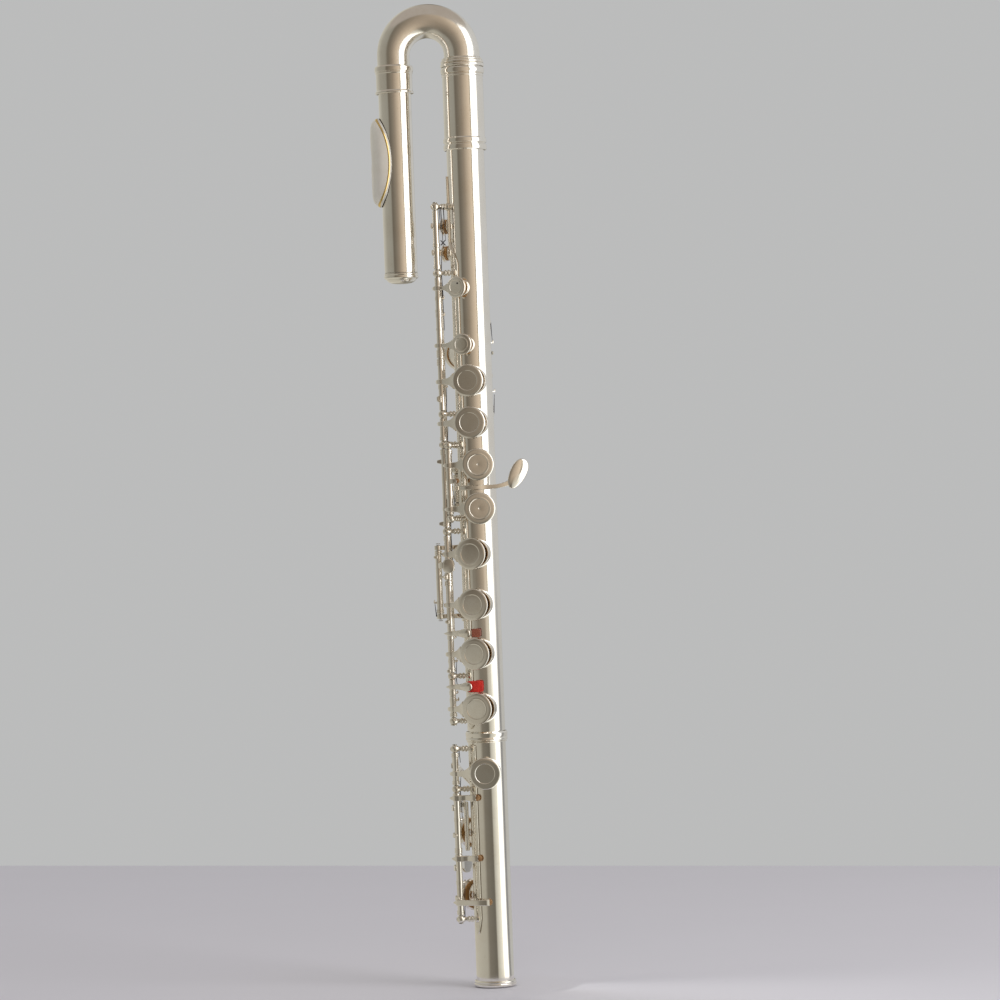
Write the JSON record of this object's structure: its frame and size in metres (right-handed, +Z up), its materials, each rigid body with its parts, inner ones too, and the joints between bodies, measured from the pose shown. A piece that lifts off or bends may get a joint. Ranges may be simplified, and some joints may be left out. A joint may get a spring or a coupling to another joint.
{
  "type": "curved head flute",
  "caption": "Concert flute with closed cups, offset G cups and a foot to low C, whose head tube bends back beside the body so that the lip plate is nearer the keys.",
  "frame": {"origin": "centre of the open foot end, where a stand's peg enters the bore", "axes": "+Z up the main tube from the foot to the curved head, -Y towards the player's finger cups, the head bends over towards -X"},
  "size_m": [0.0767, 0.0387, 0.5168],
  "materials": {
    "plate": "silver plate, polished",
    "key_plate": "silver plate, polished",
    "rod_steel": "blued steel rods",
    "pad_skin": "amber skin over felt",
    "felt": "dense red felt",
    "cork": "natural cork"
  },
  "bodies": {
    "foot": {"foot_tube": "plate", "foot_end_ring": "plate", "foot_rib": "plate", "foot_steel": "rod_steel"},
    "body": {"body_tube": "plate", "barrel": "plate", "main_rib": "plate", "back_rib": "plate", "thumb_rib": "plate", "trill_steel": "rod_steel", "upper_steel": "rod_steel", "lower_steel": "rod_steel", "g_steel": "rod_steel", "back_steel": "rod_steel", "thumb_steel": "rod_steel", "side_lever_steel": "rod_steel"},
    "crook": {"crook": "plate", "sleeve": "plate"},
    "mouthpiece": {"embouchure_tube": "plate", "lip_plate": "plate", "stopper_screw": "plate", "stopper_cork": "cork"},
    "crown": {"crown": "plate"},
    "d_sharp_trill": {"d_sharp_trill_key": "key_plate", "d_sharp_trill_pad": "pad_skin", "d_sharp_trill_felt": "felt"},
    "d_trill": {"d_trill_key": "key_plate", "d_trill_pad": "pad_skin", "d_trill_felt": "felt"},
    "c_sharp": {"c_sharp_key": "key_plate", "c_sharp_pad": "pad_skin", "c_pad": "pad_skin"},
    "b_flat": {"b_flat_key": "key_plate", "b_flat_pad": "pad_skin"},
    "a": {"a_key": "key_plate", "a_pad": "pad_skin"},
    "b_flat_link": {"b_flat_link": "key_plate"},
    "g": {"g_key": "key_plate", "g_upper_pad": "pad_skin", "g_lower_pad": "pad_skin"},
    "g_sharp": {"g_sharp_key": "key_plate", "g_sharp_pad": "pad_skin"},
    "f_sharp": {"f_sharp_key": "key_plate", "f_sharp_pad": "pad_skin"},
    "f": {"f_key": "key_plate", "f_pad": "pad_skin"},
    "e": {"e_key": "key_plate", "e_pad": "pad_skin"},
    "d": {"d_key": "key_plate", "d_pad": "pad_skin"},
    "side_lever": {"side_lever": "key_plate"},
    "thumb_b": {"thumb_b_key": "key_plate", "thumb_pad": "pad_skin"},
    "thumb_b_flat": {"thumb_b_flat_key": "key_plate"},
    "foot_d_sharp": {"foot_d_sharp_key": "key_plate", "foot_d_sharp_pad": "pad_skin"},
    "foot_c_sharp": {"foot_c_sharp_key": "key_plate", "foot_c_sharp_pad": "pad_skin"},
    "foot_c": {"foot_c_key": "key_plate", "foot_c_pad": "pad_skin"}
  },
  "joints": [
    {"name": "body_turn", "type": "hinge", "parent": "foot", "child": "body", "pos_m": [0, 0, 0.127], "axis": [0, 0, 1], "continuous": true},
    {"name": "tuning_slide", "type": "slide", "parent": "body", "child": "crook", "axis": [0, 0, 1], "range_m": [0, 0.012]},
    {"name": "mouthpiece_turn", "type": "hinge", "parent": "crook", "child": "mouthpiece", "pos_m": [-0.036, 0, 0.473], "axis": [0, 0, 1], "continuous": true},
    {"name": "crown_turn", "type": "hinge", "parent": "mouthpiece", "child": "crown", "pos_m": [-0.036, 0, 0.374], "axis": [0, 0, 1], "continuous": true},
    {"name": "d_sharp_trill_key_turn", "type": "hinge", "parent": "body", "child": "d_sharp_trill", "pos_m": [-0.01687, -0.00598, 0.2], "axis": [0, 0, 1], "range_deg": [0, 9.5], "stiffness_Nm_per_rad": 0.008, "springref_deg": -34.38},
    {"name": "d_trill_key_turn", "type": "hinge", "parent": "body", "child": "d_trill", "pos_m": [-0.01687, -0.00598, 0.2], "axis": [0, 0, 1], "range_deg": [0, 9.5], "stiffness_Nm_per_rad": 0.008, "springref_deg": -34.38},
    {"name": "c_sharp_key_turn", "type": "hinge", "parent": "body", "child": "c_sharp", "pos_m": [-0.01687, -0.00598, 0.2], "axis": [0, 0, 1], "range_deg": [0, 9], "stiffness_Nm_per_rad": 0.008, "springref_deg": -34.38},
    {"name": "b_flat_key_turn", "type": "hinge", "parent": "body", "child": "b_flat", "pos_m": [-0.01687, -0.00598, 0.2], "axis": [0, 0, 1], "range_deg": [0, 9], "stiffness_Nm_per_rad": 0.008, "springref_deg": -34.38},
    {"name": "a_key_turn", "type": "hinge", "parent": "body", "child": "a", "pos_m": [-0.01687, -0.00598, 0.2], "axis": [0, 0, 1], "range_deg": [0, 9], "stiffness_Nm_per_rad": 0.008, "springref_deg": -34.38},
    {"name": "b_flat_link_key_turn", "type": "hinge", "parent": "body", "child": "b_flat_link", "pos_m": [-0.01687, -0.00598, 0.2], "axis": [0, 0, 1], "range_deg": [0, 9]},
    {"name": "g_key_turn", "type": "hinge", "parent": "body", "child": "g", "pos_m": [-0.01441, -0.01062, 0.2], "axis": [0, 0, 1], "range_deg": [0, 9], "stiffness_Nm_per_rad": 0.008, "springref_deg": -34.38},
    {"name": "g_sharp_key_turn", "type": "hinge", "parent": "body", "child": "g_sharp", "pos_m": [-0.01093, 0.00891, 0.2], "axis": [0, 0, 1], "range_deg": [0, 6], "stiffness_Nm_per_rad": 0.008, "springref_deg": -34.38},
    {"name": "f_sharp_key_turn", "type": "hinge", "parent": "body", "child": "f_sharp", "pos_m": [-0.01687, -0.00598, 0.2], "axis": [0, 0, 1], "range_deg": [0, 9], "stiffness_Nm_per_rad": 0.008, "springref_deg": -34.38},
    {"name": "f_key_turn", "type": "hinge", "parent": "body", "child": "f", "pos_m": [-0.01687, -0.00598, 0.2], "axis": [0, 0, 1], "range_deg": [0, 9], "stiffness_Nm_per_rad": 0.008, "springref_deg": -34.38},
    {"name": "e_key_turn", "type": "hinge", "parent": "body", "child": "e", "pos_m": [-0.01687, -0.00598, 0.2], "axis": [0, 0, 1], "range_deg": [0, 9], "stiffness_Nm_per_rad": 0.008, "springref_deg": -34.38},
    {"name": "d_key_turn", "type": "hinge", "parent": "body", "child": "d", "pos_m": [-0.01687, -0.00598, 0.2], "axis": [0, 0, 1], "range_deg": [0, 9], "stiffness_Nm_per_rad": 0.008, "springref_deg": -34.38},
    {"name": "side_lever_key_turn", "type": "hinge", "parent": "body", "child": "side_lever", "pos_m": [-0.0218, -0.0042, 0.2], "axis": [0, 0, 1], "range_deg": [0, 6], "stiffness_Nm_per_rad": 0.008, "springref_deg": -34.38},
    {"name": "thumb_b_key_turn", "type": "hinge", "parent": "body", "child": "thumb_b", "pos_m": [0.00809, 0.01155, 0.2], "axis": [0, 0, 1], "range_deg": [0, 10], "stiffness_Nm_per_rad": 0.008, "springref_deg": -34.38},
    {"name": "thumb_b_flat_key_turn", "type": "hinge", "parent": "body", "child": "thumb_b_flat", "pos_m": [0.00809, 0.01155, 0.2], "axis": [0, 0, 1], "range_deg": [0, 8], "stiffness_Nm_per_rad": 0.008, "springref_deg": -34.38},
    {"name": "foot_d_sharp_key_turn", "type": "hinge", "parent": "foot", "child": "foot_d_sharp", "pos_m": [-0.01687, -0.00598, 0.08], "axis": [0, 0, -1], "range_deg": [0, 8], "stiffness_Nm_per_rad": 0.008, "springref_deg": -34.38},
    {"name": "foot_c_sharp_key_turn", "type": "hinge", "parent": "foot", "child": "foot_c_sharp", "pos_m": [-0.01687, -0.00598, 0.08], "axis": [0, 0, -1], "range_deg": [0, 9], "stiffness_Nm_per_rad": 0.008, "springref_deg": -34.38},
    {"name": "foot_c_key_turn", "type": "hinge", "parent": "foot", "child": "foot_c", "pos_m": [-0.01687, -0.00598, 0.08], "axis": [0, 0, -1], "range_deg": [0, 9], "stiffness_Nm_per_rad": 0.008, "springref_deg": -34.38}
  ],
  "couplings": [
    {"joint": "b_flat_key_turn", "follows": "a_key_turn", "ratio": 1},
    {"joint": "b_flat_link_key_turn", "follows": "a_key_turn", "ratio": 1},
    {"joint": "f_sharp_key_turn", "follows": "f_key_turn", "ratio": 1}
  ]
}
